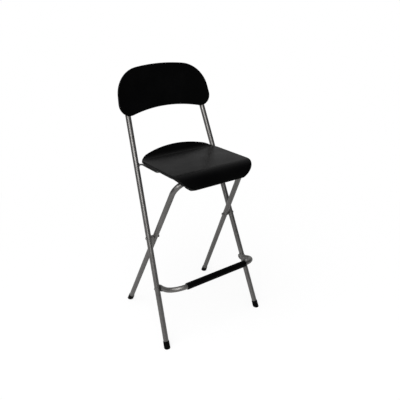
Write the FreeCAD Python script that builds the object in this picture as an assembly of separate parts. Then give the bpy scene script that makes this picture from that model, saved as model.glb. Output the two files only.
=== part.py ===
import FreeCAD, Part
import math
import os

# Folding bar stool with a backrest, a footrest and a seat that folds up flat.
# Millimetres, +Z up, the sitter faces -Y and X runs across the stool.
# The origin is on the floor under the middle of the stool.
# Two long uprights carry the backrest and the footrest. A U-shaped rear leg frame
# crosses between them on two pivots, and its cross tube carries the front of the seat.
# A bent wire link ties the seat to the uprights, so that lifting the seat's rear folds all.

V = FreeCAD.Vector
X_AXIS = V(1, 0, 0)
Z_AXIS = V(0, 0, 1)
LEFT, RIGHT = -1, 1
SIDES = (("left", LEFT), ("right", RIGHT))

# Frame tube
TUBE_OD = 19.0
TUBE_WALL = 1.5

# Uprights: the long front legs that run up to the backrest
FRONT_FOOT_Y = -172.8
UPRIGHT_LEAN = 21.9
UPRIGHT_TOE_IN = 4.05
UPRIGHT_TOP_Z = 872.0

# Pivot between uprights and rear leg frame
PIVOT_Z = 373.5
PIVOT_GAP = 8.5
PIVOT_PIN_DIAMETER = 7.0
PIVOT_HEAD_DIAMETER = 12.0
PIVOT_HEAD_HEIGHT = 3.0
SPACER_DIAMETER = 14.0
PIVOT_NUT_DIAMETER = 12.0
PIVOT_NUT_HEIGHT = 4.2
PIVOT_WASHER_DIAMETER = 15.0
PIVOT_WASHER_THICKNESS = 1.2

# Rear leg frame: one bent tube, legs and cross tube
REAR_LEG_LEAN = 26.7
REAR_LEG_TOE_IN = 4.8
CROSS_TUBE_Z = 608.0
CROSS_TUBE_BEND = 50.0

# Feet
FOOT_HEIGHT = 25.0
FOOT_WALL_TOP = 1.4
FOOT_WALL_BOTTOM = 2.0
FOOT_SOLE = 4.0
FOOT_LIP = 1.2

# Footrest
FOOTREST_Z = 203.0
FOOTREST_REACH = 100.0
FOOTREST_OD = 18.0
FOOTREST_WALL = 1.5
FOOTREST_BEND = 55.0
TAB_THICKNESS = 3.2
TAB_HEIGHT = 24.0
TAB_FLAT = 13.0
TAB_TAPER = 17.0
TAB_CORNER_ANGLE = 20.0
RIVET_DIAMETER = 5.0
RIVET_HEAD_DIAMETER = 9.5
RIVET_HEAD_HEIGHT = 2.6
SLEEVE_OD = 24.0
SLEEVE_END_GAP = 1.0
SLEEVE_EDGE_RADIUS = 0.8

# Backrest: a bowed panel with two sockets behind it
BACKREST_Z = 850.0
BACKREST_LEAN = 16.8
BACKREST_FRONT_OFFSET = 25.2
BACKREST_BOW = 14.0
BACKREST_THICKNESS = 6.5
BACKREST_HALF_WIDTH_TOP = 176.5
BACKREST_HALF_WIDTH_BOTTOM = 194.5
BACKREST_TOP = 86.0
BACKREST_TOP_CORNER = 61.5
BACKREST_BOTTOM = -64.0
BACKREST_BOTTOM_CORNER = -101.5
BACKREST_SHOULDER_RADIUS = 106.0
BACKREST_LOBE_RADIUS = 40.0
BACKREST_EDGE_RADIUS = 2.6
SOCKET_WALL = 3.4
SOCKET_DEPTH = 84.0
SOCKET_ROOF = 4.0
SCREW_DIAMETER = 4.0
SCREW_HEAD_DIAMETER = 8.0
SCREW_HEAD_HEIGHT = 2.4
BACKREST_SCREW_Z = 838.0

# Seat, in its own level frame: y runs back from the cross tube's axis, z up from it
SEAT_PITCH = 2.2
SEAT_RISE = 34.0
SEAT_HALF_WIDTH = 155.5
SEAT_SIDE_GAP = 1.5
SEAT_FLAT_FRONT = -6.3
SEAT_FLAT_REAR = 204.8
SEAT_ROLL_RADIUS = 48.6
SEAT_ROLL_ANGLE = 88.0
SEAT_LIP_ANGLE = 48.0
SEAT_LIP_BEND = 26.0
SEAT_LIP_HEIGHT = 38.2
SEAT_LIP_ARC = 370.0
SEAT_FRONT_CORNER = 75.0
SEAT_REAR_CORNER = 50.0
SEAT_RIM_DEPTH = 9.0
SEAT_RIM_WIDTH = 5.0
SEAT_SKIN = 4.5
SEAT_EDGE_RADIUS = 2.0
RIB_THICKNESS = 2.2
RIB_PITCH = 52.0
LONG_RIB_COUNT = 5
CROSS_RIB_COUNT = 3
SEAT_REST_Y = 160.0
SEAT_REST_WIDTH = 9.0
SEAT_REST_LENGTH = 16.0
SEAT_FOLD_TURN = 114.6
LEG_NOTCH_GAP = 1.2

# Seat hinge clips round the cross tube
CLIP_X = 58.0
CLIP_WIDTH = 24.0
CLIP_WALL = 3.6
CLIP_EAR = 10.0
CLIP_EAR_THICKNESS = 4.0

# Wire link between the seat and the uprights
LINK_RISE = 6.0
LINK_DIAMETER = 6.0
LINK_SEAT_Y = 103.6
LINK_SEAT_Z = 14.5
LINK_ARM_INSET = 10.0
LINK_BEND = 9.0
LINK_SADDLE_X = 92.0
LINK_SADDLE_WIDTH = 18.0
LINK_SADDLE_WALL = 2.6
LINK_SADDLE_EAR = 9.0
LINK_SADDLE_EAR_THICKNESS = 3.0
BUSH_DIAMETER = 9.0
BUSH_FLANGE_DIAMETER = 13.0
BUSH_FLANGE_THICKNESS = 1.0
BUSH_DEPTH = 9.0

# Clearances, and how near two places count as one
SEAT_FIT = 0.05
RUNNING_FIT = 0.09
FREE_GAP = 0.35
SAME_PLACE = 0.001

# Worked out from the sizes above; the link's ends lie LINK_RISE above the cross tube's axis
LINK_Z = CROSS_TUBE_Z + LINK_RISE
TUBE_R = TUBE_OD / 2
TUBE_BORE_R = TUBE_R - TUBE_WALL
LINK_R = LINK_DIAMETER / 2
FOOTREST_R = FOOTREST_OD / 2
LINK_ARM_X = SEAT_HALF_WIDTH - LINK_ARM_INSET
TOE_IN_RUN = math.tan(math.radians(UPRIGHT_TOE_IN))
TOE_IN_RISE = math.cos(math.radians(UPRIGHT_TOE_IN))
FRONT_FOOT_HALF_SPACING = SEAT_HALF_WIDTH + SEAT_SIDE_GAP + TUBE_R / TOE_IN_RISE + LINK_Z * TOE_IN_RUN


def tan_deg(angle):
    return math.tan(math.radians(angle))


def unit(vector):
    """The same direction with a length of one."""
    return FreeCAD.Vector(vector).normalize()


def upright_direction(side):
    return unit(V(-side * tan_deg(UPRIGHT_TOE_IN), tan_deg(UPRIGHT_LEAN), 1))


def upright_point(side, z):
    """Point on an upright's axis at height z."""
    x = FRONT_FOOT_HALF_SPACING - z * tan_deg(UPRIGHT_TOE_IN)
    return V(side * x, FRONT_FOOT_Y + z * tan_deg(UPRIGHT_LEAN), z)


def rear_leg_direction(side):
    return unit(V(-side * tan_deg(REAR_LEG_TOE_IN), -tan_deg(REAR_LEG_LEAN), 1))


def rear_leg_point(side, z):
    """Point on a rear leg's axis at height z; it crosses the upright at the pivot."""
    pivot = upright_point(RIGHT, PIVOT_Z)
    rise = z - PIVOT_Z
    x = pivot.x - TUBE_OD - PIVOT_GAP - rise * tan_deg(REAR_LEG_TOE_IN)
    return V(side * x, pivot.y - rise * tan_deg(REAR_LEG_LEAN), z)


def rod(start, end, radius):
    """Round rod from one point to another."""
    axis = end - start
    return Part.makeCylinder(radius, axis.Length, start, axis)


def slab_below(z):
    """Everything under a level plane, as far as the stool reaches."""
    reach = 4 * FRONT_FOOT_HALF_SPACING
    return Part.makeBox(reach, reach, reach, V(-reach / 2, -reach / 2, z - reach))


def tangent_path(corners, radius):
    """Straight runs through the corner points, joined by arcs of one radius."""
    edges = []
    start = corners[0]
    for before, corner, after in zip(corners, corners[1:], corners[2:]):
        back = unit(before - corner)
        ahead = unit(after - corner)
        half = back.getAngle(ahead) / 2
        setback = radius / math.tan(half)
        centre = corner + unit(back + ahead) * (radius / math.sin(half))
        arc_start = corner + back * setback
        arc_end = corner + ahead * setback
        middle = centre + unit(corner - centre) * radius
        edges.append(Part.LineSegment(start, arc_start).toShape())
        edges.append(Part.Arc(arc_start, middle, arc_end).toShape())
        start = arc_end
    edges.append(Part.LineSegment(start, corners[-1]).toShape())
    return Part.Wire(edges)


def sweep_round(path, start, heading, radius):
    """Round bar of one radius along a path."""
    circle = Part.Wire(Part.makeCircle(radius, start, heading))
    return path.makePipeShell([circle], True, False)


def dome(base, axis, radius, height):
    """Domed fastener head on a flat base, turned from an arc."""
    axis = unit(axis)
    outward = unit(axis.cross(Z_AXIS if abs(axis.x) > 0.5 else X_AXIS))
    ball_r = (radius ** 2 + height ** 2) / (2 * height)
    centre = base - axis * (ball_r - height)
    rim = base + outward * radius
    top = base + axis * height
    middle = centre + unit(rim + top - centre * 2) * ball_r
    edges = [Part.LineSegment(base, rim).toShape(), Part.Arc(rim, middle, top).toShape(),
             Part.LineSegment(top, base).toShape()]
    return Part.Face(Part.Wire(edges)).revolve(base, axis, 360)


def upright_stock(side, radius):
    """Round bar along an upright's whole axis, used for the tube and for seats on it."""
    return rod(upright_point(side, -TUBE_OD), upright_point(side, UPRIGHT_TOP_Z), radius)


def rear_leg_stock(side, radius):
    """Round bar along a rear leg near its pivot, used for seats on it."""
    reach = 3 * TUBE_OD
    return rod(rear_leg_point(side, PIVOT_Z - reach), rear_leg_point(side, PIVOT_Z + reach), radius)


def across(side, centre, inner, outer, radius):
    """Round bar along X, from inner to outer distance from the stool's middle plane."""
    start = V(side * inner, centre.y, centre.z)
    end = V(side * outer, centre.y, centre.z)
    return rod(start, end, radius)


# Uprights

def footrest_axes(side):
    """Origin on the upright, forward direction, and direction in towards the middle."""
    origin = upright_point(side, FOOTREST_Z)
    forward = V(0, -math.cos(math.radians(UPRIGHT_LEAN)), math.sin(math.radians(UPRIGHT_LEAN)))
    inward = unit(forward.cross(upright_direction(side))) * side
    return origin, forward, inward


def backrest_screw_axis():
    """Direction in which the backrest's screws point, from behind to the front."""
    lean = math.radians(UPRIGHT_LEAN)
    return V(0, -math.cos(lean), math.sin(lean))


def upright(side):
    tube = upright_stock(side, TUBE_R).cut(upright_stock(side, TUBE_BORE_R))
    tube = tube.cut(slab_below(FOOT_SOLE))
    pivot = upright_point(side, PIVOT_Z)
    pin_r = PIVOT_PIN_DIAMETER / 2 + SEAT_FIT
    tube = tube.cut(across(side, pivot, abs(pivot.x) - TUBE_OD, abs(pivot.x) + TUBE_OD, pin_r))
    origin, forward, inward = footrest_axes(side)
    rivet_r = RIVET_DIAMETER / 2 + SEAT_FIT
    tube = tube.cut(rod(origin - inward * TUBE_OD, origin + inward * TUBE_OD, rivet_r))
    link = upright_point(side, LINK_Z)
    bush_r = BUSH_DIAMETER / 2 + SEAT_FIT
    tube = tube.cut(across(side, link, abs(link.x) - TUBE_OD, abs(link.x), bush_r))
    screw = upright_point(side, BACKREST_SCREW_Z)
    screw_r = SCREW_DIAMETER / 2 + SEAT_FIT
    return tube.cut(rod(screw - backrest_screw_axis() * TUBE_OD, screw, screw_r))


def foot(point_at, side, direction):
    """Moulded cap on a leg's end: slight taper, rounded lip, sole cut level with the floor."""
    floor_point = point_at(side, 0)
    start = floor_point - direction * FOOT_SOLE
    length = FOOT_HEIGHT + FOOT_SOLE
    body = Part.makeCone(TUBE_R + FOOT_WALL_BOTTOM, TUBE_R + FOOT_WALL_TOP, length, start, direction)
    lip_edges = [edge for edge in body.Edges if edge.Curve.TypeId == "Part::GeomCircle"]
    top_edge = max(lip_edges, key=lambda edge: edge.CenterOfMass.z)
    body = body.makeFillet(FOOT_LIP, [top_edge])
    body = body.cut(slab_below(0))
    bore = rod(start, floor_point + direction * (length + FOOT_SOLE), TUBE_R + SEAT_FIT)
    return body.cut(bore.cut(slab_below(FOOT_SOLE)))


# Pivots of the crossing frames

def pivot_planes(side):
    """Distances of the pivot's flat faces from the middle plane, outermost last."""
    outer = abs(upright_point(side, PIVOT_Z).x)
    inner = abs(rear_leg_point(side, PIVOT_Z).x)
    swell = SPACER_DIAMETER / 2 * tan_deg(REAR_LEG_TOE_IN)
    surface = TUBE_R / math.cos(math.radians(REAR_LEG_TOE_IN)) + swell + FREE_GAP
    return inner - surface, inner + surface, outer


def pivot_bolt(side):
    inner_face, _, outer = pivot_planes(side)
    pivot = upright_point(side, PIVOT_Z)
    nut_end = inner_face - PIVOT_WASHER_THICKNESS - PIVOT_NUT_HEIGHT / 2
    head_face = outer + TUBE_R / math.cos(math.radians(UPRIGHT_TOE_IN))
    shank = across(side, pivot, nut_end, head_face + SEAT_FIT, PIVOT_PIN_DIAMETER / 2)
    skirt = across(side, pivot, head_face - TUBE_WALL, head_face, PIVOT_HEAD_DIAMETER / 2)
    base = V(side * head_face, pivot.y, pivot.z)
    head = dome(base, X_AXIS * side, PIVOT_HEAD_DIAMETER / 2, PIVOT_HEAD_HEIGHT).fuse(skirt)
    return shank.fuse(head.cut(upright_stock(side, TUBE_R + SEAT_FIT))).removeSplitter()


def pivot_nut(side):
    inner_face, _, _ = pivot_planes(side)
    pivot = upright_point(side, PIVOT_Z)
    face = inner_face - PIVOT_WASHER_THICKNESS
    base = V(side * face, pivot.y, pivot.z)
    body = dome(base, X_AXIS * -side, PIVOT_NUT_DIAMETER / 2, PIVOT_NUT_HEIGHT)
    bore_r = PIVOT_PIN_DIAMETER / 2 + SEAT_FIT
    return body.cut(across(side, pivot, face - PIVOT_NUT_HEIGHT / 2, face, bore_r))


def pivot_washer(side):
    inner_face, _, _ = pivot_planes(side)
    pivot = upright_point(side, PIVOT_Z)
    thin = inner_face - PIVOT_WASHER_THICKNESS
    disc = across(side, pivot, thin, inner_face, PIVOT_WASHER_DIAMETER / 2)
    return disc.cut(across(side, pivot, thin, inner_face, PIVOT_PIN_DIAMETER / 2 + SEAT_FIT))


def pivot_spacer(side):
    """Moulded spacer: hollowed to the upright's curve, flat towards the rear leg."""
    _, inner_face, outer = pivot_planes(side)
    pivot = upright_point(side, PIVOT_Z)
    body = across(side, pivot, inner_face, outer, SPACER_DIAMETER / 2)
    body = body.cut(across(side, pivot, inner_face, outer, PIVOT_PIN_DIAMETER / 2 + SEAT_FIT))
    return body.cut(upright_stock(side, TUBE_R + SEAT_FIT))


# Rear leg frame

def rear_leg_frame():
    """Both rear legs and the cross tube, bent from one tube."""
    low = -TUBE_OD
    corners = [rear_leg_point(LEFT, low), rear_leg_point(LEFT, CROSS_TUBE_Z),
               rear_leg_point(RIGHT, CROSS_TUBE_Z), rear_leg_point(RIGHT, low)]
    path = tangent_path(corners, CROSS_TUBE_BEND)
    heading = rear_leg_direction(LEFT)
    tube = sweep_round(path, corners[0], heading, TUBE_R)
    tube = tube.cut(sweep_round(path, corners[0], heading, TUBE_BORE_R))
    tube = tube.cut(slab_below(FOOT_SOLE))
    for _, side in SIDES:
        pivot = rear_leg_point(side, PIVOT_Z)
        reach = abs(pivot.x)
        hole_r = PIVOT_PIN_DIAMETER / 2 + RUNNING_FIT
        tube = tube.cut(across(side, pivot, reach - TUBE_OD, reach + TUBE_OD, hole_r))
    return tube


# Footrest

def tab_offset():
    """How far the flat tab's middle lies inside the upright's axis."""
    return TUBE_R + TAB_THICKNESS / 2 - TAB_THICKNESS / 4


def rectangle(centre, across_axis, along_axis, width, height):
    """Closed rectangular wire."""
    a = across_axis * (width / 2)
    b = along_axis * (height / 2)
    return Part.makePolygon([centre - a - b, centre + a - b, centre + a + b, centre - a + b, centre - a - b])


def round_section(centre, across_axis, along_axis, radius):
    """Circle split into four arcs, so that it lofts evenly to a flat rectangle."""
    ends = [along_axis * -1, across_axis, along_axis, across_axis * -1]
    a = across_axis * math.sin(math.radians(TAB_CORNER_ANGLE))
    b = along_axis * math.cos(math.radians(TAB_CORNER_ANGLE))
    corners = [a * -1 - b, a - b, a + b, b - a]
    points = [centre + corner * radius for corner in corners]
    middles = [centre + end * radius for end in ends]
    edges = [Part.Arc(points[i], middles[i], points[(i + 1) % 4]).toShape() for i in range(4)]
    return Part.Wire(edges)


def tab_plate(middle, forward, inward, along):
    """Flat end of the tab, rounded about its rivet."""
    high = along * (TAB_HEIGHT / 2)
    tip = forward * (-TAB_HEIGHT / 2)
    start = middle - inward * (TAB_THICKNESS / 2)
    front = start + forward * TAB_FLAT
    edges = [Part.LineSegment(front + high, start + high).toShape(),
             Part.Arc(start + high, start + tip, start - high).toShape(),
             Part.LineSegment(start - high, front - high).toShape(),
             Part.LineSegment(front - high, front + high).toShape()]
    return Part.Face(Part.Wire(edges)).extrude(inward * TAB_THICKNESS)


def footrest_tab(side):
    """Pressed end of the footrest tube: round, then flat, with a round end about its rivet."""
    origin, forward, inward = footrest_axes(side)
    along = upright_direction(side)
    middle = origin + inward * tab_offset()
    flat = rectangle(middle + forward * TAB_FLAT, inward, along, TAB_THICKNESS, TAB_HEIGHT)
    full = round_section(middle + forward * (TAB_FLAT + TAB_TAPER), inward, along, FOOTREST_R)
    taper = Part.makeLoft([flat, full], True, True)
    tab = tab_plate(middle, forward, inward, along).fuse(taper)
    tab = tab.cut(upright_stock(side, TUBE_R + SEAT_FIT))
    span = inward * (TUBE_OD * 2)
    return tab.cut(rod(origin - span, origin + span, RIVET_DIAMETER / 2 + SEAT_FIT))


def footrest_corners():
    """Corner points of the footrest tube, from the left tab round to the right one."""
    corners = []
    for _, side in SIDES:
        origin, forward, inward = footrest_axes(side)
        start = origin + inward * tab_offset()
        corners.append([start + forward * (TAB_FLAT + TAB_TAPER), start + forward * FOOTREST_REACH])
    left, right = corners
    return [left[0], left[1], right[1], right[0]]


def footrest_bar():
    corners = footrest_corners()
    path = tangent_path(corners, FOOTREST_BEND)
    _, _, inward = footrest_axes(LEFT)
    along = upright_direction(LEFT)
    outer = round_section(corners[0], inward, along, FOOTREST_R)
    bore = round_section(corners[0], inward, along, FOOTREST_R - FOOTREST_WALL)
    bar = path.makePipeShell([outer], True, False).cut(path.makePipeShell([bore], True, False))
    for _, side in SIDES:
        bar = bar.fuse(footrest_tab(side))
    return bar.removeSplitter()


def footrest_sleeve():
    """Grip sleeve on the footrest's straight run, with rounded ends."""
    corners = footrest_corners()
    half = abs(corners[1].x) - FOOTREST_BEND - SLEEVE_END_GAP
    middle = V(0, corners[1].y, corners[1].z)
    start = middle - X_AXIS * half
    end = middle + X_AXIS * half
    body = rod(start, end, SLEEVE_OD / 2)
    rims = [edge for edge in body.Edges if edge.Curve.TypeId == "Part::GeomCircle"]
    body = body.makeFillet(SLEEVE_EDGE_RADIUS, rims)
    return body.cut(rod(start, end, FOOTREST_R + SEAT_FIT))


def footrest_rivet(side):
    origin, forward, inward = footrest_axes(side)
    outside = origin - inward * TUBE_R
    inside = origin + inward * (tab_offset() + TAB_THICKNESS / 2 + SEAT_FIT)
    shank = rod(outside, inside, RIVET_DIAMETER / 2)
    head_r = RIVET_HEAD_DIAMETER / 2
    skirt = rod(outside, outside + inward * TUBE_WALL, head_r)
    head = dome(outside, inward * -1, head_r, RIVET_HEAD_HEIGHT).fuse(skirt)
    head = head.cut(upright_stock(side, TUBE_R + SEAT_FIT))
    tail = dome(inside, inward, head_r, RIVET_HEAD_HEIGHT)
    return shank.fuse([head, tail]).removeSplitter()


# Backrest, in its own frame: x across, y up the panel, z out of its front

def backrest_placement():
    """Puts the panel's frame at its height on the uprights, leaning back."""
    axis_point = upright_point(RIGHT, BACKREST_Z)
    lean = math.radians(BACKREST_LEAN)
    up = V(0, math.sin(lean), math.cos(lean))
    front = V(0, -math.cos(lean), math.sin(lean))
    origin = V(0, axis_point.y, BACKREST_Z) + front * BACKREST_FRONT_OFFSET
    matrix = FreeCAD.Matrix(1, 0, 0, origin.x, 0, up.y, front.y, origin.y, 0, up.z, front.z, origin.z,
                            0, 0, 0, 1)
    return FreeCAD.Placement(matrix)


def backrest_outline(depth):
    """Kidney outline as a prism: arched top, hollow bottom, big shoulders and round lobes."""
    top_left = V(-BACKREST_HALF_WIDTH_TOP, BACKREST_TOP_CORNER, -depth)
    top_right = V(BACKREST_HALF_WIDTH_TOP, BACKREST_TOP_CORNER, -depth)
    low_left = V(-BACKREST_HALF_WIDTH_BOTTOM, BACKREST_BOTTOM_CORNER, -depth)
    low_right = V(BACKREST_HALF_WIDTH_BOTTOM, BACKREST_BOTTOM_CORNER, -depth)
    edges = [Part.LineSegment(low_left, top_left).toShape(),
             Part.Arc(top_left, V(0, BACKREST_TOP, -depth), top_right).toShape(),
             Part.LineSegment(top_right, low_right).toShape(),
             Part.Arc(low_right, V(0, BACKREST_BOTTOM, -depth), low_left).toShape()]
    prism = Part.Face(Part.Wire(edges)).extrude(V(0, 0, 2 * depth))
    upright_edges = [edge for edge in prism.Edges
                     if edge.Curve.TypeId == "Part::GeomLine" and abs(edge.tangentAt(0).z) > 0.9]
    shoulders = [edge for edge in upright_edges if edge.CenterOfMass.y > 0]
    prism = prism.makeFillet(BACKREST_SHOULDER_RADIUS, shoulders)
    lobes = [edge for edge in prism.Edges if edge.Curve.TypeId == "Part::GeomLine"
             and abs(edge.tangentAt(0).z) > 0.9 and edge.CenterOfMass.y < BACKREST_BOTTOM_CORNER + BACKREST_EDGE_RADIUS
             and abs(edge.CenterOfMass.x) > BACKREST_HALF_WIDTH_BOTTOM - BACKREST_EDGE_RADIUS]
    return prism.makeFillet(BACKREST_LOBE_RADIUS, lobes)


def bow_radius():
    """Radius of the panel's front face, whose middle lies behind its ends."""
    return (BACKREST_HALF_WIDTH_BOTTOM ** 2 + BACKREST_BOW ** 2) / (2 * BACKREST_BOW)


def bowed_sheet(thickness, height):
    """Sheet that is bowed across, with its front face's middle behind z = 0."""
    radius = bow_radius()
    centre = V(0, -height, radius - BACKREST_BOW)
    outer = Part.makeCylinder(radius + thickness, 2 * height, centre, V(0, 1, 0))
    inner = Part.makeCylinder(radius, 2 * height, centre, V(0, 1, 0))
    half_width = BACKREST_HALF_WIDTH_BOTTOM * 1.1
    depth = BACKREST_BOW + 2 * thickness
    front_part = Part.makeBox(2 * half_width, 2 * height, 2 * depth, V(-half_width, -height, -depth * 1.5))
    return outer.cut(inner).common(front_part)


def backrest():
    height = BACKREST_HALF_WIDTH_BOTTOM
    panel = bowed_sheet(BACKREST_THICKNESS, height).common(backrest_outline(height))
    panel = panel.makeFillet(BACKREST_EDGE_RADIUS, outline_edges(panel))
    panel.Placement = backrest_placement()
    front = backrest_front_block()
    for _, side in SIDES:
        panel = panel.fuse(socket(side).cut(front))
    for _, side in SIDES:
        panel = panel.cut(upright_stock(side, TUBE_R + SEAT_FIT))
        screw = upright_point(side, BACKREST_SCREW_Z)
        rear = screw - backrest_screw_axis() * (2 * TUBE_OD)
        panel = panel.cut(rod(rear, screw, SCREW_DIAMETER / 2 + SEAT_FIT))
    return panel.removeSplitter()


def outline_edges(panel):
    """Edges of the panel's two curved faces, where these meet its outline."""
    big = [face for face in panel.Faces if face.Surface.TypeId == "Part::GeomCylinder"
           and face.Surface.Radius > bow_radius() - 1]
    return [edge for face in big for edge in face.Edges]


def socket(side):
    """Boss behind the panel that takes the end of an upright."""
    bottom = upright_point(side, UPRIGHT_TOP_Z) - upright_direction(side) * SOCKET_DEPTH
    top = upright_point(side, UPRIGHT_TOP_Z) + upright_direction(side) * SOCKET_ROOF
    body = rod(bottom, top, TUBE_R + SOCKET_WALL)
    return body.makeFillet(SOCKET_WALL / 2, [edge for edge in body.Edges
                                            if edge.Curve.TypeId == "Part::GeomCircle"])


def backrest_front_block():
    """Space in front of the panel's middle layer, which the sockets stay out of."""
    height = BACKREST_HALF_WIDTH_BOTTOM
    radius = bow_radius() + BACKREST_THICKNESS / 2
    centre = V(0, -height, bow_radius() - BACKREST_BOW)
    block = Part.makeCylinder(radius, 2 * height, centre, V(0, 1, 0))
    block.Placement = backrest_placement().multiply(block.Placement)
    return block


def backrest_screw(side):
    axis = backrest_screw_axis()
    screw = upright_point(side, BACKREST_SCREW_Z)
    head_base = screw - axis * (TUBE_R + SOCKET_WALL)
    shank = rod(head_base, screw - axis * (TUBE_BORE_R - 2 * TUBE_WALL), SCREW_DIAMETER / 2)
    skirt = rod(head_base, head_base + axis * SOCKET_WALL, SCREW_HEAD_DIAMETER / 2)
    skirt = skirt.cut(upright_stock(side, TUBE_R + SOCKET_WALL + SEAT_FIT))
    head = dome(head_base, axis * -1, SCREW_HEAD_DIAMETER / 2, SCREW_HEAD_HEIGHT)
    return shank.fuse([head, skirt]).removeSplitter()


# Seat, built level about the cross tube's axis and then pitched into place

def seat_placement():
    hinge = rear_leg_point(RIGHT, CROSS_TUBE_Z)
    turn = FreeCAD.Rotation(X_AXIS, -SEAT_PITCH)
    return FreeCAD.Placement(V(0, hinge.y, hinge.z), turn)


def lip_frame():
    """Corner line of seat and lip, the direction up the lip, and the lip's normal."""
    lean = math.radians(SEAT_LIP_ANGLE)
    corner = V(0, SEAT_FLAT_REAR, SEAT_RISE)
    return corner, V(0, math.cos(lean), math.sin(lean)), V(0, -math.sin(lean), math.cos(lean))


def seat_profile(depth, inset):
    """Side view of the seat at a depth below its top: front roll, flat, bend and lip."""
    roll_r = SEAT_ROLL_RADIUS - depth
    roll_centre = V(0, SEAT_FLAT_FRONT, SEAT_RISE - SEAT_ROLL_RADIUS)
    corner, up_lip, normal = lip_frame()
    lean = math.radians(SEAT_LIP_ANGLE)
    bend_centre = corner + V(0, -SEAT_LIP_BEND * math.tan(lean / 2), SEAT_LIP_BEND)
    bend_r = SEAT_LIP_BEND + depth

    def on_roll(turn):
        return roll_centre + V(0, -math.sin(turn), math.cos(turn)) * roll_r

    def on_bend(turn):
        return bend_centre + V(0, math.sin(turn), -math.cos(turn)) * bend_r

    full_turn = math.radians(SEAT_ROLL_ANGLE) - inset / SEAT_ROLL_RADIUS
    lip_end = corner + up_lip * (SEAT_LIP_HEIGHT * 2) - normal * depth
    roll = Part.Arc(on_roll(full_turn), on_roll(full_turn / 2), on_roll(0))
    flat = Part.LineSegment(on_roll(0), on_bend(0))
    bend = Part.Arc(on_bend(0), on_bend(lean / 2), on_bend(lean))
    lip = Part.LineSegment(on_bend(lean), lip_end)
    return [roll.toShape(), flat.toShape(), bend.toShape(), lip.toShape()], [on_roll(full_turn), lip_end]


def rounded_cutter(origin, along, half, corner, end_arc):
    """Prism of a rounded outline that ends at origin, seen square to the direction along."""
    reach = SEAT_LIP_ARC * 2
    block = Part.makeBox(2 * half, reach, 2 * reach, V(-half, -reach, -reach))
    if end_arc:
        nose = Part.makeCylinder(end_arc, 2 * reach, V(0, -end_arc, -reach))
        rest = Part.makeBox(2 * half, reach, 2 * reach, V(-half, -reach - end_arc, -reach))
        block = block.common(nose.fuse(rest)).removeSplitter()
    tall = [edge for edge in block.Edges if edge.Length > 1.9 * reach]
    last = max(edge.CenterOfMass.y for edge in tall)
    block = block.makeFillet(corner, [edge for edge in tall if edge.CenterOfMass.y > last - SAME_PLACE])
    out = X_AXIS.cross(along)
    block.Placement = FreeCAD.Placement(FreeCAD.Matrix(
        1, along.x, out.x, origin.x, 0, along.y, out.y, origin.y, 0, along.z, out.z, origin.z, 0, 0, 0, 1))
    return block


def seat_layer(top_depth, bottom_depth, inset):
    """Layer of the seat between two depths, cut to its outline less an inset."""
    top, top_ends = seat_profile(top_depth, inset)
    bottom, bottom_ends = seat_profile(bottom_depth, inset)
    ends = [Part.LineSegment(a, b).toShape() for a, b in zip(top_ends, bottom_ends)]
    face = Part.Face(Part.Wire(Part.__sortEdges__(top + bottom + ends)))
    face.translate(V(-SEAT_LIP_ARC, 0, 0))
    layer = face.extrude(V(2 * SEAT_LIP_ARC, 0, 0))
    half = SEAT_HALF_WIDTH - inset
    corner, up_lip, _ = lip_frame()
    rear = rounded_cutter(corner + up_lip * (SEAT_LIP_HEIGHT - inset), up_lip, half,
                          SEAT_REAR_CORNER - inset, SEAT_LIP_ARC - inset)
    turn = math.radians(SEAT_ROLL_ANGLE / 2)
    down = V(0, -math.cos(turn), -math.sin(turn))
    roll_centre = V(0, SEAT_FLAT_FRONT, SEAT_RISE - SEAT_ROLL_RADIUS)
    end = SEAT_ROLL_RADIUS * math.sin(turn) - inset + SEAT_EDGE_RADIUS / 4
    front = rounded_cutter(roll_centre + down * end, down, half, SEAT_FRONT_CORNER - inset, None)
    return layer.common(rear).common(front)


def strap_cradle(x, y, z, bore_r, wall, width, ear):
    """Block moulded under the seat that sits on a bar, reaching up to the seat's skin."""
    half = bore_r + wall + ear
    block = Part.makeBox(width, 2 * half, SEAT_RISE - SEAT_SKIN / 2 - z, V(x - width / 2, y - half, z))
    bore = Part.makeCylinder(bore_r, width, V(x - width / 2, y, z), X_AXIS)
    return block.cut(bore)


def strap(x, y, z, bore_r, wall, width, ear, thickness):
    """Clip under a bar: a half ring with two ears, each with a screw hole."""
    start = V(x - width / 2, y, z)
    ring = Part.makeCylinder(bore_r + wall, width, start, X_AXIS)
    half = bore_r + wall + ear
    ears = Part.makeBox(width, 2 * half, thickness, V(x - width / 2, y - half, z - thickness))
    ears = ears.makeFillet(thickness / 2, [edge for edge in ears.Edges
                                          if abs(edge.tangentAt(0).z) > 0.9])
    below = Part.makeBox(width, 4 * half, 4 * half, V(x - width / 2, y - 2 * half, z - 4 * half))
    body = ring.common(below).fuse(ears).cut(Part.makeCylinder(bore_r, width, start, X_AXIS))
    for hole in strap_screw_points(x, y, z, bore_r, wall, ear):
        top = V(hole.x, hole.y, z)
        body = body.cut(rod(top - Z_AXIS * thickness, top, SCREW_DIAMETER / 2 + SEAT_FIT))
    return body.removeSplitter()


def strap_screw_points(x, y, z, bore_r, wall, ear):
    """Centres of the two screws of a clip, on its ears' upper face."""
    reach = bore_r + wall + ear / 2
    return [V(x, y - reach, z), V(x, y + reach, z)]


def strap_screw(point, thickness, length):
    """Screw up through an ear, with a domed head under it."""
    head_base = point - Z_AXIS * thickness
    shank = rod(head_base, point + Z_AXIS * length, SCREW_DIAMETER / 2)
    head = dome(head_base, Z_AXIS * -1, SCREW_HEAD_DIAMETER / 2, SCREW_HEAD_HEIGHT)
    return shank.fuse(head).removeSplitter()


def hinge_strap_sizes():
    return TUBE_R + RUNNING_FIT, CLIP_WALL, CLIP_WIDTH, CLIP_EAR


def link_strap_sizes():
    return LINK_R + RUNNING_FIT, LINK_SADDLE_WALL, LINK_SADDLE_WIDTH, LINK_SADDLE_EAR


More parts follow.
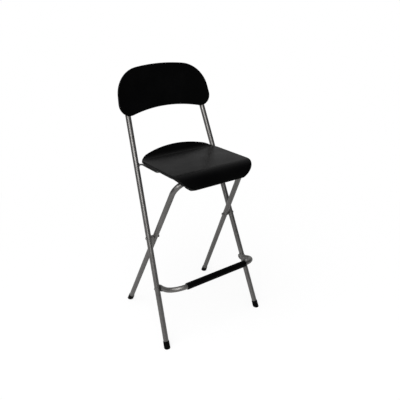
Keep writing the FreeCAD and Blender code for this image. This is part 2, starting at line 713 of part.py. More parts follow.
def screw_length():
    """How far the clip screws reach into the seat's blocks."""
    return SEAT_RISE - SEAT_SKIN - LINK_SEAT_Z - SCREW_DIAMETER / 2


def all_straps():
    """Every clip: its name, centre, sizes and ear thickness."""
    found = []
    for name, side in SIDES:
        found.append((name + "_seat_clip", side * CLIP_X, 0.0, 0.0, hinge_strap_sizes(),
                      CLIP_EAR_THICKNESS))
        found.append((name + "_link_saddle", side * LINK_SADDLE_X, LINK_SEAT_Y, LINK_SEAT_Z,
                      link_strap_sizes(), LINK_SADDLE_EAR_THICKNESS))
    return found


def seat_ribs(pocket):
    """Stiffening ribs inside the pocket: some run back, some run across."""
    reach = 2 * SEAT_LIP_ARC
    ribs = []
    for index in range(LONG_RIB_COUNT):
        x = (index - (LONG_RIB_COUNT - 1) / 2) * RIB_PITCH
        corner = V(x - RIB_THICKNESS / 2, -reach, -reach)
        ribs.append(Part.makeBox(RIB_THICKNESS, 2 * reach, 2 * reach, corner))
    for index in range(CROSS_RIB_COUNT):
        y = (index + 1) * RIB_PITCH
        corner = V(-reach, y - RIB_THICKNESS / 2, -reach)
        ribs.append(Part.makeBox(2 * reach, RIB_THICKNESS, 2 * reach, corner))
    grid = ribs[0].fuse(ribs[1:])
    return grid.common(pocket)


def link_rest(side):
    """Block under the seat's skin that rests on one arm of the wire link."""
    lift = seat_placement().inverse().multVec(upright_point(RIGHT, LINK_Z))
    slope = (lift.z - LINK_SEAT_Z) / (lift.y - LINK_SEAT_Y)
    rear = SEAT_REST_Y + SEAT_REST_LENGTH / 2
    bottom = LINK_SEAT_Z + slope * (rear - LINK_SEAT_Y) + LINK_R + FREE_GAP
    corner = V(side * LINK_ARM_X - SEAT_REST_WIDTH / 2, SEAT_REST_Y - SEAT_REST_LENGTH / 2, bottom)
    return Part.makeBox(SEAT_REST_WIDTH, SEAT_REST_LENGTH, SEAT_RISE - SEAT_SKIN / 2 - bottom, corner)


def leg_notch(side):
    """Round notch in the front rim, where a rear leg lies when the stool is folded."""
    to_seat = seat_placement().inverse()
    fold = FreeCAD.Rotation(X_AXIS, -SEAT_FOLD_TURN)
    high = rear_leg_point(side, CROSS_TUBE_Z)
    low = high - rear_leg_direction(side) * (2 * SEAT_ROLL_RADIUS)
    start = fold.multVec(to_seat.multVec(high))
    end = fold.multVec(to_seat.multVec(low))
    return rod(start, end, TUBE_R + LEG_NOTCH_GAP)


def seat_shell():
    slab = seat_layer(0, SEAT_RIM_DEPTH, 0)
    slab = slab.makeFillet(SEAT_EDGE_RADIUS, seat_top_edges(slab))
    pocket = seat_layer(SEAT_SKIN, 2 * SEAT_RIM_DEPTH, SEAT_RIM_WIDTH)
    ribs = seat_ribs(seat_layer(SEAT_SKIN, SEAT_RIM_DEPTH, SEAT_RIM_WIDTH))
    shell = slab.cut(pocket).fuse(ribs)
    for _, side in SIDES:
        shell = shell.cut(leg_notch(side)).fuse(link_rest(side))
    for _, x, y, z, sizes, _ in all_straps():
        bore_r, wall, width, ear = sizes
        shell = shell.fuse(strap_cradle(x, y, z, bore_r, wall, width, ear))
        for point in strap_screw_points(x, y, z, bore_r, wall, ear):
            hole = rod(point, point + Z_AXIS * screw_length(), SCREW_DIAMETER / 2 + SEAT_FIT)
            shell = shell.cut(hole)
    shell.Placement = seat_placement()
    return shell


def on_seat_top(face):
    """True for the faces that make up the seat's upper surface."""
    surface = face.Surface
    if surface.TypeId == "Part::GeomPlane":
        corner, _, normal = lip_frame()
        level = abs(face.CenterOfMass.z - SEAT_RISE) < SAME_PLACE and abs(surface.Axis.z) > 0.999
        offset = abs((face.CenterOfMass - corner).dot(normal)) < SAME_PLACE
        return level or (offset and abs(surface.Axis.dot(normal)) > 0.999)
    if surface.TypeId == "Part::GeomCylinder" and abs(surface.Axis.x) > 0.99:
        return min(abs(surface.Radius - SEAT_ROLL_RADIUS), abs(surface.Radius - SEAT_LIP_BEND)) < SAME_PLACE
    return False


def seat_top_edges(slab):
    """Outline of the seat's upper surface."""
    counts = {}
    for face in slab.Faces:
        if on_seat_top(face):
            for edge in face.Edges:
                counts.setdefault(edge.hashCode(), []).append(edge)
    return [found[0] for found in counts.values() if len(found) == 1]


def seat_clip_screws():
    solids = []
    for name, x, y, z, sizes, thickness in all_straps():
        if name.endswith("seat_clip"):
            bore_r, wall, _, ear = sizes
            for point in strap_screw_points(x, y, z, bore_r, wall, ear):
                solids.append(strap_screw(point, thickness, screw_length()))
    return placed_group(solids)


def link_saddle_screws():
    solids = []
    for name, x, y, z, sizes, thickness in all_straps():
        if name.endswith("link_saddle"):
            bore_r, wall, _, ear = sizes
            for point in strap_screw_points(x, y, z, bore_r, wall, ear):
                solids.append(strap_screw(point, thickness, screw_length()))
    return placed_group(solids)


def placed_group(solids):
    """Separate solids in one node, moved from the seat's level frame into place."""
    group = Part.makeCompound(solids)
    group.Placement = seat_placement()
    return group


# Wire link

def link_seat_point():
    """Point where the link's cross part turns under the seat, in the stool's frame."""
    return seat_placement().multVec(V(0, LINK_SEAT_Y, LINK_SEAT_Z))


def link_tip_x():
    """Distance of the link's ends from the middle plane, just clear of the bushes."""
    inner_wall = abs(upright_point(RIGHT, LINK_Z).x) - TUBE_R / math.cos(math.radians(UPRIGHT_TOE_IN))
    return inner_wall - BUSH_FLANGE_THICKNESS - bush_swell() - FREE_GAP


def bush_swell():
    """How much the splayed upright moves a flat bush face off its wall."""
    return BUSH_FLANGE_DIAMETER / 2 * tan_deg(UPRIGHT_TOE_IN)


def link_wire():
    """Bail: two short ends towards the uprights, two arms, and a cross part under the seat."""
    pivot = upright_point(RIGHT, LINK_Z)
    seat_point = link_seat_point()
    corners = [V(-link_tip_x(), pivot.y, pivot.z), V(-LINK_ARM_X, pivot.y, pivot.z),
               V(-LINK_ARM_X, seat_point.y, seat_point.z), V(LINK_ARM_X, seat_point.y, seat_point.z),
               V(LINK_ARM_X, pivot.y, pivot.z), V(link_tip_x(), pivot.y, pivot.z)]
    path = tangent_path(corners, LINK_BEND)
    return sweep_round(path, corners[0], X_AXIS, LINK_R)


def link_bush(side):
    """Bush pressed into the upright's inner wall, with a flange on the wall."""
    link = upright_point(side, LINK_Z)
    inner_wall = abs(link.x) - TUBE_R / math.cos(math.radians(UPRIGHT_TOE_IN))
    face = inner_wall - BUSH_FLANGE_THICKNESS - bush_swell()
    flange = across(side, link, face, inner_wall + TUBE_WALL, BUSH_FLANGE_DIAMETER / 2)
    flange = flange.cut(upright_stock(side, TUBE_R + SEAT_FIT))
    body = across(side, link, face, inner_wall + BUSH_DEPTH, BUSH_DIAMETER / 2)
    bore_end = inner_wall + BUSH_DEPTH - BUSH_FLANGE_THICKNESS
    return flange.fuse(body).cut(across(side, link, face, bore_end, LINK_R + RUNNING_FIT)).removeSplitter()


def all_nodes():
    """Every piece of the stool by its node name."""
    nodes = {}
    for name, side in SIDES:
        nodes[name + "_upright"] = upright(side)
        nodes[name + "_front_foot"] = foot(upright_point, side, upright_direction(side))
        nodes[name + "_rear_foot"] = foot(rear_leg_point, side, rear_leg_direction(side))
        nodes[name + "_pivot_spacer"] = pivot_spacer(side)
        nodes[name + "_link_bush"] = link_bush(side)
    nodes["rear_leg_frame"] = rear_leg_frame()
    nodes["pivot_bolts"] = Part.makeCompound([pivot_bolt(side) for _, side in SIDES])
    nodes["pivot_nuts"] = Part.makeCompound([pivot_nut(side) for _, side in SIDES])
    nodes["pivot_washers"] = Part.makeCompound([pivot_washer(side) for _, side in SIDES])
    nodes["footrest_bar"] = footrest_bar()
    nodes["footrest_sleeve"] = footrest_sleeve()
    nodes["footrest_rivets"] = Part.makeCompound([footrest_rivet(side) for _, side in SIDES])
    nodes["backrest"] = backrest()
    nodes["backrest_screws"] = Part.makeCompound([backrest_screw(side) for _, side in SIDES])
    nodes["seat_shell"] = seat_shell()
    for name, x, y, z, sizes, thickness in all_straps():
        clip = strap(x, y, z, *sizes, thickness)
        clip.Placement = seat_placement()
        nodes[name] = clip
    nodes["seat_clip_screws"] = seat_clip_screws()
    nodes["link_saddle_screws"] = link_saddle_screws()
    nodes["link_wire"] = link_wire()
    return nodes


def main():
    os.makedirs("parts", exist_ok=True)
    for name, shape in all_nodes().items():
        shape.exportStep("parts/" + name + ".step")
        print(name, "solids", len(shape.Solids), "volume", round(shape.Volume))
    hinge = rear_leg_point(RIGHT, CROSS_TUBE_Z)
    pivot = upright_point(RIGHT, PIVOT_Z)
    print("frame pivot", pivot, "seat hinge", hinge, "link at seat", link_seat_point())
    print("link at upright", upright_point(RIGHT, LINK_Z))


main()
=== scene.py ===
"""Folding bar stool: finishes, small moulded and turned pieces, studio and camera."""

import math

import bpy
import numpy as np
from mathutils import Matrix, Vector


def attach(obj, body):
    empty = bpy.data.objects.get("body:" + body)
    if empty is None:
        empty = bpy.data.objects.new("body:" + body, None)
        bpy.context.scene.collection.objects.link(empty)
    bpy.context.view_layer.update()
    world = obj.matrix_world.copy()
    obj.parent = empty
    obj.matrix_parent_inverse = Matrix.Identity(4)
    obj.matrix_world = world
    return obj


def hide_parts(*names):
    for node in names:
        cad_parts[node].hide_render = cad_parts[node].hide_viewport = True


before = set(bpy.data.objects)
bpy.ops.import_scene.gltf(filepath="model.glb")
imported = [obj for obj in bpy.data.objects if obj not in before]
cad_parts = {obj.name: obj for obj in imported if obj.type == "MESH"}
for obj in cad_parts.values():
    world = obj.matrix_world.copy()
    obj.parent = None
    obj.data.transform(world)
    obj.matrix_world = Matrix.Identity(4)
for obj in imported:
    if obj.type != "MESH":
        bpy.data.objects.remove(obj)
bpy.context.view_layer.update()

# Metres, as in the CAD: +Z up, the sitter faces -Y
TUBE_NODES = ("left_upright", "right_upright", "rear_leg_frame", "footrest_bar",
              "left_pivot_spacer", "right_pivot_spacer")
PLASTIC_NODES = ("seat_shell", "backrest", "left_seat_clip", "right_seat_clip",
                 "left_link_saddle", "right_link_saddle")
PLATED_NODES = ("pivot_bolts", "pivot_nuts", "pivot_washers", "footrest_rivets",
                "backrest_screws", "seat_clip_screws", "link_saddle_screws")
BUSH_NODES = ("left_link_bush", "right_link_bush")
FOOT_NODES = ("left_front_foot", "right_front_foot", "left_rear_foot", "right_rear_foot")

# Seat: where its own level frame lies, and the roll along its front edge
SEAT_ORIGIN = np.array((0.0, -0.140595, 0.608))
SEAT_PITCH = math.radians(2.2)
ROLL_AXIS_Y = -0.0063
ROLL_AXIS_Z = -0.0146
ROLL_RADIUS = 0.0486
ROLL_TOLERANCE = 0.00002
WELD_DECIMALS = 6

# Pan head screws: the head, the shank and the cross-shaped recess
HEAD_RADIUS = 0.0040
HEAD_HEIGHT = 0.0024
HEAD_ROWS = 30
HEAD_TURNS = 88
SHANK_RADIUS = 0.0020
POINT_LENGTH = 0.0025
POINT_SHARE = 0.3
CROSS_REACH = 0.0023
CROSS_WIDTH = 0.00062
CROSS_DEPTH = 0.0014
CROSS_SLOPE = 0.55
CROSS_SIDE = 0.2

# Push-on nuts on the pivot bolts
NUT_RADIUS = 0.0060
NUT_FLANGE = 0.0007
NUT_TURNS = 48
CROWN = 0.0013
CROWN_RADIUS = 0.0044
CROWN_ROWS = 14
EDGE_ROWS = 9

# Where the fasteners sit: the first two in the seat's own frame, the others in the world
CLIP_SCREWS = [(x, y, -0.0040) for x in (-0.058, 0.058) for y in (-0.01819, 0.01819)]
SADDLE_Y = 0.1036
SADDLE_SCREWS = [(x, SADDLE_Y + y, 0.0115) for x in (-0.092, 0.092) for y in (-0.01019, 0.01019)]
BACKREST_SCREWS = [(x, 0.17604, 0.83319) for x in (-0.15066, 0.15066)]
PIVOT_NUTS = [(x, -0.02265, 0.37350) for x in (-0.14438, 0.14438)]
UPRIGHT_LEAN = math.radians(21.9)

# How far the first piece of a set is turned about its axis, and each next one more, in radians
FIRST_TURN = 0.4
TURN_STEP = 0.65
SHARP_EDGE = math.radians(35)

# Studio: how bright the room is in gloss, as light, and how the floor shows
WHITE = (1, 1, 1, 1)
BACKDROP_SIDE = (0.36, 0.84, 0.40)
BACKDROP_EDGE = 0.35
BACKDROP_FULL = 0.95
ROOM_FRONT = 0.05
ROOM_BACK = 0.46
ROOM_LIGHT = 0.55
FLOOR_TONE = 0.48
FLOOR_PAPER = 0.95
FLOOR_GLOW_NEAR = 0.84
FLOOR_GLOW_FAR = 1.0
FLOOR_GLOW_START = 0.5
FLOOR_GLOW_END = 1.6
FLOOR_RADIUS = 3.2
FLOOR_SIDES = 96
FLOOR_DROP = 0.0003

# Camera: its direction from the stool, what it is aimed at, and how it is framed
CAMERA_AZIMUTH = math.radians(-34.48)
CAMERA_ELEVATION = math.radians(24.78)
CAMERA_AIM = (0, -0.0038, 0.5)
CAMERA_DISTANCE = 1.64911
CAMERA_RIGHT = 0.04106
CAMERA_DOWN = 0.03017
CAMERA_SENSOR = 36.0
CAMERA_LENS = 40.5
CAMERA_FAR = 400.0


class Finish:
    """A material's node tree with one Principled shader, and short ways to add nodes to it."""

    def __init__(self, name):
        self.material = bpy.data.materials.new(name)
        self.material.use_nodes = True
        self.tree = self.material.node_tree
        self.tree.nodes.clear()
        self.shader = self.add("ShaderNodeBsdfPrincipled")
        output = self.add("ShaderNodeOutputMaterial")
        self.join(self.shader.outputs[0], output.inputs["Surface"])
        self.place = self.add("ShaderNodeTexCoord").outputs["Object"]

    def add(self, kind, **settings):
        node = self.tree.nodes.new(kind)
        for key, value in settings.items():
            setattr(node, key, value)
        return node

    def join(self, source, target):
        self.tree.links.new(source, target)

    def noise(self, scale, detail, rough=0.5):
        """Noise in the piece's own coordinates, with scale waves to the metre."""
        node = self.add("ShaderNodeTexNoise")
        node.inputs["Scale"].default_value = scale
        node.inputs["Detail"].default_value = detail
        node.inputs["Roughness"].default_value = rough
        self.join(self.place, node.inputs["Vector"])
        return node.outputs["Fac"]

    def spread(self, value, low, high, to_low, to_high):
        """Value taken from the range low..high to the range to_low..to_high, and held there."""
        node = self.add("ShaderNodeMapRange")
        names = ("From Min", "From Max", "To Min", "To Max")
        for name, number in zip(names, (low, high, to_low, to_high)):
            node.inputs[name].default_value = number
        self.join(value, node.inputs["Value"])
        return node.outputs[0]

    def mixed(self, factor, first, second):
        """Colour between two, each an RGB triple or a colour output."""
        node = self.add("ShaderNodeMix", data_type="RGBA")
        self.join(factor, node.inputs[0])
        for socket, colour in ((node.inputs[6], first), (node.inputs[7], second)):
            if isinstance(colour, tuple):
                socket.default_value = (*colour, 1.0)
            else:
                self.join(colour, socket)
        return node.outputs[2]

    def colour(self, tone, low, high, first, second, share=1.0):
        """Base colour: first up to low, and by high a share of the way to second."""
        part = self.spread(tone, low, high, 0.0, share)
        self.join(self.mixed(part, first, second), self.shader.inputs["Base Color"])

    def rough(self, tone, least, most):
        """Roughness from least to most, as the tone goes from 0.3 to 0.7."""
        self.join(self.spread(tone, 0.3, 0.7, least, most), self.shader.inputs["Roughness"])

    def grain(self, height, depth, strength):
        """Bump of a height output: its depth in metres, and how strongly it shows."""
        node = self.add("ShaderNodeBump")
        node.inputs["Strength"].default_value = strength
        node.inputs["Distance"].default_value = depth
        self.join(height, node.inputs["Height"])
        self.join(node.outputs[0], self.shader.inputs["Normal"])

    def set(self, **values):
        for key, value in values.items():
            self.shader.inputs[key.replace("_", " ")].default_value = value


def frame_paint():
    """Silver-grey metallic powder coat: fine flake, faint orange peel and slow changes of tone."""
    f = Finish("frame_paint")
    slow = f.spread(f.noise(9.0, 4.0), 0.35, 0.65, 0.0, 1.0)
    dull = f.mixed(slow, (0.185, 0.181, 0.175), (0.22, 0.214, 0.207))
    f.colour(f.noise(2600.0, 2.0), 0.5, 0.75, dull, (0.36, 0.352, 0.344), share=0.35)
    f.rough(f.noise(60.0, 5.0), 0.30, 0.42)
    f.grain(f.noise(420.0, 3.0), 0.0002, 0.25)
    f.set(Metallic=0.85)
    return f.material


def plated_steel():
    """Zinc plate: bright, with a slight mottling and a fine drawn grain."""
    f = Finish("plated_steel")
    f.colour(f.noise(180.0, 4.0), 0.3, 0.7, (0.24, 0.235, 0.228), (0.32, 0.315, 0.308))
    f.rough(f.noise(700.0, 3.0), 0.30, 0.42)
    f.grain(f.noise(1500.0, 2.0), 0.0001, 0.2)
    f.set(Metallic=1.0)
    return f.material


def drawn_wire():
    """Plain drawn steel wire: dark grey, slightly mottled, with a fine grain."""
    f = Finish("drawn_wire")
    f.colour(f.noise(40.0, 4.0), 0.3, 0.7, (0.10, 0.099, 0.097), (0.16, 0.158, 0.154))
    f.rough(f.noise(500.0, 3.0), 0.34, 0.46)
    f.grain(f.noise(1800.0, 2.0), 0.0001, 0.2)
    f.set(Metallic=0.9)
    return f.material


def bush_nylon():
    """Natural grey nylon of the bushes that the wire turns in."""
    f = Finish("bush_nylon")
    tone = f.noise(120.0, 3.0)
    f.colour(tone, 0.3, 0.7, (0.15, 0.148, 0.142), (0.20, 0.197, 0.19))
    f.rough(tone, 0.40, 0.55)
    f.grain(f.noise(900.0, 3.0), 0.0001, 0.2)
    f.set(Specular_IOR_Level=0.35)
    return f.material


def moulded(name, black, worn, least_rough, most_rough, grain, gloss):
    """Black moulding: a fine spark-eroded grain, soft patches where use has changed its sheen."""
    f = Finish(name)
    patch = f.noise(11.0, 5.0, 0.55)
    f.colour(patch, 0.45, 0.75, black, worn)
    f.rough(patch, least_rough, most_rough)
    f.grain(f.noise(grain, 4.0, 0.6), 0.0002, 0.35)
    f.set(Specular_IOR_Level=gloss)
    return f.material


def black_plastic():
    """Seat, backrest, clips and saddles: a hard plastic with some sheen."""
    return moulded("black_plastic", (0.0008, 0.0008, 0.0009), (0.0013, 0.0013, 0.0014),
                   least_rough=0.30, most_rough=0.40, grain=1500.0, gloss=0.12)


def sleeve_plastic():
    """Grip sleeve of the footrest: duller and coarser."""
    return moulded("sleeve_plastic", (0.0009, 0.0009, 0.0010), (0.0016, 0.0016, 0.0017),
                   least_rough=0.36, most_rough=0.46, grain=900.0, gloss=0.05)


def foot_rubber():
    """Foot caps: the dullest, and greyed a little by the floor."""
    return moulded("foot_rubber", (0.0012, 0.0012, 0.0013), (0.0026, 0.0025, 0.0024),
                   least_rough=0.40, most_rough=0.55, grain=1100.0, gloss=0.05)


def finish_nodes(names, material):
    """Gives CAD nodes a finish."""
    for name in names:
        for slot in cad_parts[name].material_slots:
            slot.material = material


def piece_from(name, points, faces, material, sharp_edge=None):
    """Mesh object from points and faces, at the origin, shaded smooth up to an angle."""
    mesh = bpy.data.meshes.new(name)
    mesh.from_pydata(points.tolist(), [], faces)
    mesh.polygons.foreach_set("use_smooth", np.ones(len(mesh.polygons), bool))
    if sharp_edge:
        mesh.set_sharp_from_angle(angle=sharp_edge)
    mesh.materials.append(material)
    piece = bpy.data.objects.new(name, mesh)
    bpy.context.scene.collection.objects.link(piece)
    return piece


def seat_turn():
    """Turn of the seat's own frame, pitched back about X: a row of points @ it is in the world."""
    cos, sin = math.cos(SEAT_PITCH), math.sin(SEAT_PITCH)
    return np.array(((1, 0, 0), (0, cos, -sin), (0, sin, cos)))


def from_seat(places):
    """Places in the seat's own frame, taken to the world."""
    return np.array(places) @ seat_turn() + SEAT_ORIGIN


def dressed_seat(material):
    """The seat moulding as one welded skin, with its front roll made clean.

    Equal points of the CAD triangles become one, and a triangle that this closes up is left out.
    A point that stands further from the roll's axis than the roll's radius moves straight
    towards the axis until it is on the roll, and the faces that held it take the roll's own
    direction. All other faces keep the CAD's directions.
    """
    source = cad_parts["seat_shell"].data
    place = np.empty(3 * len(source.vertices))
    corner = np.empty(len(source.loops), int)
    facing = np.empty(3 * len(source.loops))
    source.vertices.foreach_get("co", place)
    source.loops.foreach_get("vertex_index", corner)
    source.corner_normals.foreach_get("vector", facing)
    rounded = np.round(place.reshape(-1, 3), WELD_DECIMALS)
    points, where = np.unique(rounded, axis=0, return_inverse=True)
    faces = where.reshape(-1)[corner].reshape(-1, 3)
    facing = facing.reshape(-1, 3, 3)
    whole = (faces != np.roll(faces, 1, axis=1)).all(axis=1)
    faces, facing = faces[whole], facing[whole]
    local = (points - SEAT_ORIGIN) @ seat_turn().T
    out = local - np.array((0, ROLL_AXIS_Y, ROLL_AXIS_Z))
    out[:, 0] = 0
    reach = np.linalg.norm(out, axis=1)
    proud = (out[:, 1] < 0) & (out[:, 2] > 0) & (reach > ROLL_RADIUS + ROLL_TOLERANCE)
    outward = out / np.maximum(reach, 1e-9)[:, None]
    local[proud] -= outward[proud] * (reach[proud] - ROLL_RADIUS)[:, None]
    mended = proud[faces].any(axis=1)
    facing[mended] = (outward @ seat_turn())[faces[mended]]
    piece = piece_from("seat_moulding", from_seat(local), faces.tolist(), material)
    piece.data.normals_split_custom_set(facing.reshape(-1, 3).tolist())
    return piece


def turned(radius, height, turns, carve=None):
    """Closed surface of a profile turned about the up axis, from its top on the axis to its foot.

    radius and height are the profile's rows, without the two points on the axis. carve gives the
    depth taken off the rows at or above level 0 as a function of the points' x and y. Returns
    the points, the four-sided faces between rows and the three-sided ones round the axis.
    """
    radius, height = np.array(radius), np.array(height)
    angle = np.linspace(0, 2 * np.pi, turns, endpoint=False)
    x, y = radius[:, None] * np.cos(angle), radius[:, None] * np.sin(angle)
    z = np.repeat(height[:, None], turns, axis=1)
    crown = height[0]
    if carve:
        z = z - np.where(height[:, None] >= 0, carve(x, y), 0)
        crown = crown - carve(np.zeros(1), np.zeros(1))[0]
    ring = np.stack([x, y, z], axis=2).reshape(-1, 3)
    points = np.vstack([ring, (0, 0, crown), (0, 0, height[-1])])
    row, column = np.meshgrid(np.arange(len(radius) - 1), np.arange(turns), indexing="ij")
    following = (column + 1) % turns
    quads = np.stack([row * turns + column, (row + 1) * turns + column,
                      (row + 1) * turns + following, row * turns + following], axis=2).reshape(-1, 4)
    around, last = np.arange(turns), len(ring) - turns
    after = (around + 1) % turns
    caps = np.stack([np.full(turns, len(ring)), around, after], axis=1)
    ends = np.stack([last + around, np.full(turns, len(ring) + 1), last + after], axis=1)
    return points, quads, np.vstack([caps, ends])


def pan_screw(shank_length, skirt):
    """Cross-recessed pan head screw, its head pointing up from the level of what it holds.

    The head's height is HEAD_HEIGHT times the square root of 1 - (radius / HEAD_RADIUS)^3, then
    come a short skirt, the flat underside, the shank and its point. Each of the recess's two
    crossed arms is CROSS_DEPTH deep in the middle and rises evenly to nothing over the last
    CROSS_SLOPE of its reach. Its sides rise to nothing over CROSS_SIDE of its half width, inside
    and outside its edge. Where the arms meet, the deeper of the two counts.
    """
    head_r = HEAD_RADIUS * np.sin(np.linspace(0, 1, HEAD_ROWS)[1:] * np.pi / 2)
    head_z = HEAD_HEIGHT * np.sqrt(np.maximum(1 - (head_r / HEAD_RADIUS) ** 3, 0))
    tail_r = (HEAD_RADIUS, SHANK_RADIUS, SHANK_RADIUS, POINT_SHARE * SHANK_RADIUS)
    tail_z = (-skirt, -skirt, -shank_length + POINT_LENGTH, -shank_length)

    def arm(along, beside):
        edge = CROSS_WIDTH * (1 + CROSS_SIDE) - np.abs(beside)
        width = np.clip(edge / (CROSS_WIDTH * 2 * CROSS_SIDE), 0, 1)
        return width * np.clip((CROSS_REACH - np.abs(along)) / (CROSS_SLOPE * CROSS_REACH), 0, 1)

    def cross(x, y):
        return CROSS_DEPTH * np.maximum(arm(x, y), arm(y, x))

    return turned(np.append(head_r, tail_r), np.append(head_z, tail_z), HEAD_TURNS, cross)


def push_nut():
    """Domed push-on nut: a crown of height CROWN times 1 - (radius / CROWN_RADIUS)^2 on a thin
    flange whose edge is a half circle, with a flat foot."""
    crown_r = CROWN_RADIUS * np.linspace(0, 1, CROWN_ROWS)[1:]
    crown_z = NUT_FLANGE + CROWN * (1 - (crown_r / CROWN_RADIUS) ** 2)
    round_r = NUT_FLANGE / 2
    turn = np.linspace(0, np.pi, EDGE_ROWS)
    edge_r = NUT_RADIUS - round_r + round_r * np.sin(turn)
    edge_z = round_r + round_r * np.cos(turn)
    return turned(np.append(crown_r, edge_r), np.append(crown_z, edge_z), NUT_TURNS)


def group_of(name, shape, places, outward, material):
    """Equal turned pieces as one object, each at its place and turned differently about its axis.

    outward is the way that their tops point: one direction for all, or one for each.
    """
    points, quads, triangles = shape
    count = len(places)
    outward = np.broadcast_to(np.array(outward, float), (count, 3))
    outward = outward / np.linalg.norm(outward, axis=1)[:, None]
    aside = np.cross(outward, np.array((0.0, 0.6, 0.8)))
    aside = aside / np.linalg.norm(aside, axis=1)[:, None]
    other = np.cross(outward, aside)
    turn = (FIRST_TURN + TURN_STEP * np.arange(count))[:, None]
    first = np.cos(turn) * aside + np.sin(turn) * other
    second = np.cos(turn) * other - np.sin(turn) * aside
    axes = np.stack([first, second, outward], axis=1)
    spots = np.einsum("pi,kij->kpj", points, axes) + np.array(places)[:, None]
    shift = (np.arange(count) * len(points))[:, None, None]
    faces = (quads + shift).reshape(-1, 4).tolist() + (triangles + shift).reshape(-1, 3).tolist()
    return piece_from(name, spots.reshape(-1, 3), faces, material, SHARP_EDGE)


def linked(tree, kind, **inputs):
    """Shader or value node whose inputs are numbers, colours or other nodes' outputs."""
    node = tree.nodes.new(kind)
    for key, value in inputs.items():
        socket = node.inputs[key.replace("_", " ")]
        if isinstance(value, bpy.types.NodeSocket):
            tree.links.new(value, socket)
        else:
            socket.default_value = value
    return node


def seen_directly(tree):
    """Light path outputs: 1 for camera rays, and 1 for rays that gloss or glass sends out."""
    path = tree.nodes.new("ShaderNodeLightPath")
    shine = tree.nodes.new("ShaderNodeMath")
    shine.operation = "MAXIMUM"
    tree.links.new(path.outputs["Is Glossy Ray"], shine.inputs[0])
    tree.links.new(path.outputs["Is Transmission Ray"], shine.inputs[1])
    return path.outputs["Is Camera Ray"], shine.outputs[0]


def blended(tree, factor, first, second):
    """The first shader where the factor is 0, the second where it is 1."""
    mix = tree.nodes.new("ShaderNodeMixShader")
    for source, socket in zip((factor, first, second), mix.inputs):
        tree.links.new(source, socket)
    return mix.outputs[0]


def floor():
    """Round pale floor. The camera sees paper that shows the stool's soft shadow near it, and
    with the distance from the middle goes over to plain white."""
    mesh = bpy.data.meshes.new("floor")
    turn = np.linspace(0, 2 * np.pi, FLOOR_SIDES, endpoint=False)
    level = np.full(FLOOR_SIDES, -FLOOR_DROP)
    rim = np.stack([FLOOR_RADIUS * np.cos(turn), FLOOR_RADIUS * np.sin(turn), level], axis=1)
    mesh.from_pydata(rim.tolist(), [], [tuple(range(FLOOR_SIDES))])
    plane = bpy.data.objects.new("floor", mesh)
    bpy.context.scene.collection.objects.link(plane)
    material = bpy.data.materials.new("floor_white")
    material.use_nodes = True
    tree = material.node_tree
    tree.nodes.clear()
    camera, _ = seen_directly(tree)
    lit = linked(tree, "ShaderNodeBsdfDiffuse", Color=(FLOOR_TONE, FLOOR_TONE, FLOOR_TONE, 1))
    paper = linked(tree, "ShaderNodeBsdfDiffuse", Color=(FLOOR_PAPER, FLOOR_PAPER, FLOOR_PAPER, 1))
    white = linked(tree, "ShaderNodeEmission", Color=WHITE, Strength=1.0)
    reach = tree.nodes.new("ShaderNodeVectorMath")
    reach.operation = "LENGTH"
    tree.links.new(tree.nodes.new("ShaderNodeTexCoord").outputs["Object"], reach.inputs[0])
    glow = linked(tree, "ShaderNodeMapRange", Value=reach.outputs["Value"],
                  From_Min=FLOOR_GLOW_START, From_Max=FLOOR_GLOW_END,
                  To_Min=FLOOR_GLOW_NEAR, To_Max=FLOOR_GLOW_FAR)
    shown = blended(tree, glow.outputs[0], paper.outputs[0], white.outputs[0])
    output = tree.nodes.new("ShaderNodeOutputMaterial")
    tree.links.new(blended(tree, camera, lit.outputs[0], shown), output.inputs["Surface"])
    mesh.materials.append(material)


def studio_world():
    """White for the camera, an even light for dull surfaces, and in gloss and metal a backdrop
    towards BACKDROP_SIDE that fades to a dim room round it."""
    world = bpy.data.worlds.new("studio")
    bpy.context.scene.world = world
    world.use_nodes = True
    tree = world.node_tree
    tree.nodes.clear()
    direction = tree.nodes.new("ShaderNodeTexCoord").outputs["Generated"]
    facing = tree.nodes.new("ShaderNodeVectorMath")
    facing.operation = "DOT_PRODUCT"
    facing.inputs[1].default_value = Vector(BACKDROP_SIDE).normalized()
    tree.links.new(direction, facing.inputs[0])
    level = linked(tree, "ShaderNodeMapRange", Value=facing.outputs["Value"],
                   From_Min=BACKDROP_EDGE, From_Max=BACKDROP_FULL,
                   To_Min=ROOM_FRONT, To_Max=ROOM_BACK)
    level.interpolation_type = "SMOOTHSTEP"
    white = linked(tree, "ShaderNodeBackground", Color=WHITE, Strength=1.0)
    mirrored = linked(tree, "ShaderNodeBackground", Color=WHITE, Strength=level.outputs[0])
    light = linked(tree, "ShaderNodeBackground", Color=WHITE, Strength=ROOM_LIGHT)
    camera, shine = seen_directly(tree)
    output = tree.nodes.new("ShaderNodeOutputWorld")
    around = blended(tree, shine, light.outputs[0], mirrored.outputs[0])
    tree.links.new(blended(tree, camera, around, white.outputs[0]), output.inputs["Surface"])


def soft_sun(name, toward, strength, angle):
    """Even soft light from far off, from the direction toward, as wide as angle in degrees."""
    data = bpy.data.lights.new(name, "SUN")
    data.energy = strength
    data.angle = math.radians(angle)
    lamp = bpy.data.objects.new(name, data)
    lamp.rotation_euler = Vector(toward).to_track_quat("Z", "Y").to_euler()
    bpy.context.scene.collection.objects.link(lamp)


def soft_box(name, place, target, width, height, power):
    """Rectangular soft light at a place, aimed at a target."""
    data = bpy.data.lights.new(name, "AREA")
    data.shape = "RECTANGLE"
    data.size = width
    data.size_y = height
    data.energy = power
    lamp = bpy.data.objects.new(name, data)
    lamp.location = place
    lamp.rotation_euler = (Vector(place) - Vector(target)).to_track_quat("Z", "Y").to_euler()
    bpy.context.scene.collection.objects.link(lamp)


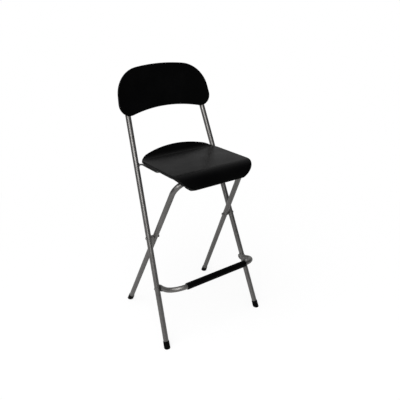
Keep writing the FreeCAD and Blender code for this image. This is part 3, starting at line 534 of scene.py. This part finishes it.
def photo_camera():
    """Camera at the photograph's angle: in front of the stool to one side, looking down."""
    level = math.cos(CAMERA_ELEVATION)
    back = Vector((math.sin(CAMERA_AZIMUTH) * level, -math.cos(CAMERA_AZIMUTH) * level,
                   math.sin(CAMERA_ELEVATION)))
    right = Vector((math.cos(CAMERA_AZIMUTH), math.sin(CAMERA_AZIMUTH), 0))
    up = back.cross(right)
    place = Vector(CAMERA_AIM) + back * CAMERA_DISTANCE + right * CAMERA_RIGHT - up * CAMERA_DOWN
    data = bpy.data.cameras.new("camera")
    data.sensor_width = CAMERA_SENSOR
    data.lens = CAMERA_LENS
    data.clip_end = CAMERA_FAR
    camera = bpy.data.objects.new("camera", data)
    turn = Matrix((right, up, back)).transposed().to_4x4()
    camera.matrix_world = Matrix.Translation(place) @ turn
    bpy.context.scene.collection.objects.link(camera)
    bpy.context.scene.camera = camera


plated, plastic = plated_steel(), black_plastic()
finish_nodes(TUBE_NODES, frame_paint())
finish_nodes(PLATED_NODES, plated)
finish_nodes(("link_wire",), drawn_wire())
finish_nodes(PLASTIC_NODES, plastic)
finish_nodes(BUSH_NODES, bush_nylon())
finish_nodes(("footrest_sleeve",), sleeve_plastic())
finish_nodes(FOOT_NODES, foot_rubber())

seat = dressed_seat(plastic)
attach(seat, "seat")
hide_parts("seat_shell")

# Each set: its name, the node it stands for, its body, its shape, its places and where it points
seat_down = np.array((0, 0, -1)) @ seat_turn()
behind = np.array((0, math.cos(UPRIGHT_LEAN), -math.sin(UPRIGHT_LEAN)))
fasteners = (
    ("seat_clip_screw_set", "seat_clip_screws", "seat",
     pan_screw(shank_length=0.0160, skirt=0.0001), from_seat(CLIP_SCREWS), seat_down),
    ("saddle_screw_set", "link_saddle_screws", "seat",
     pan_screw(shank_length=0.0150, skirt=0.0001), from_seat(SADDLE_SCREWS), seat_down),
    ("backrest_screw_set", "backrest_screws", "uprights",
     pan_screw(shank_length=0.0079, skirt=0.0008), BACKREST_SCREWS, behind),
    ("pivot_nut_set", "pivot_nuts", "uprights", push_nut(), PIVOT_NUTS, ((1, 0, 0), (-1, 0, 0))),
)
for name, node, body, shape, places, outward in fasteners:
    piece = group_of(name, shape, places, outward, plated)
    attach(piece, body)
    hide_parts(node)

floor()
studio_world()
soft_sun("key_light", toward=(-1.5, -0.5, 2.4), strength=1.6, angle=60.0)
soft_box("front_box", place=(-1.60, -1.95, 1.60), target=(0, 0, 0.80),
         width=2.2, height=0.6, power=26.0)
photo_camera()
bpy.context.scene.view_settings.view_transform = "Standard"
